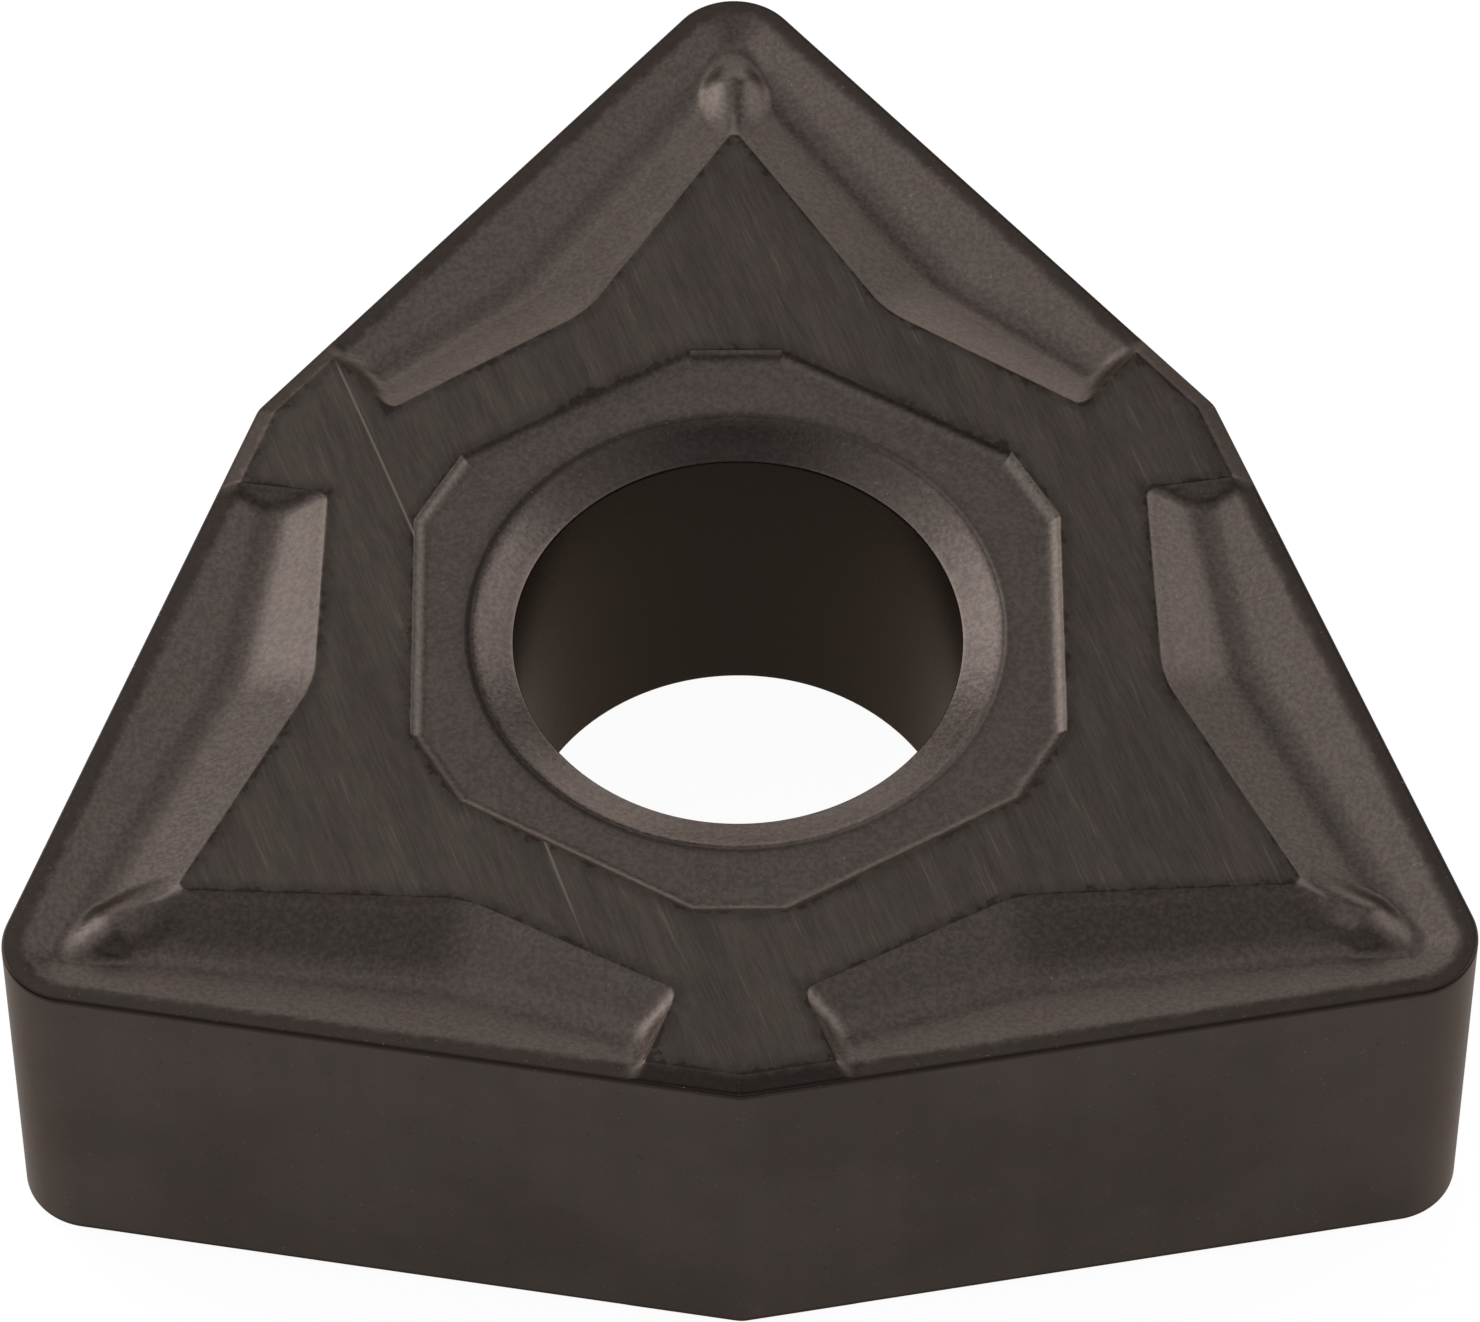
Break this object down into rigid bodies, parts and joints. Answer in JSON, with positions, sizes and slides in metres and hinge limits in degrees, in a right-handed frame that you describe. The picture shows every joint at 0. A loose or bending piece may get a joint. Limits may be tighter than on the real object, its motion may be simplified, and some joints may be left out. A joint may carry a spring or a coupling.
{
  "type": "carbide insert",
  "caption": "Double-sided trigon turning insert with a countersunk bore, ground seats and a chip former behind each cutting edge.",
  "frame": {"origin": "on the bore's axis at mid-thickness", "axes": "+Z along the bore out of one face, +Y towards one nose, +X to the right of it"},
  "size_m": [0.0166, 0.0158, 0.0048],
  "materials": {
    "coated_carbide": "dark brown-black hard coating with a fine sintered grain, satin and finely scratched where the seats are ground"
  },
  "bodies": {
    "root": {"insert_body": "coated_carbide"}
  },
  "joints": []
}
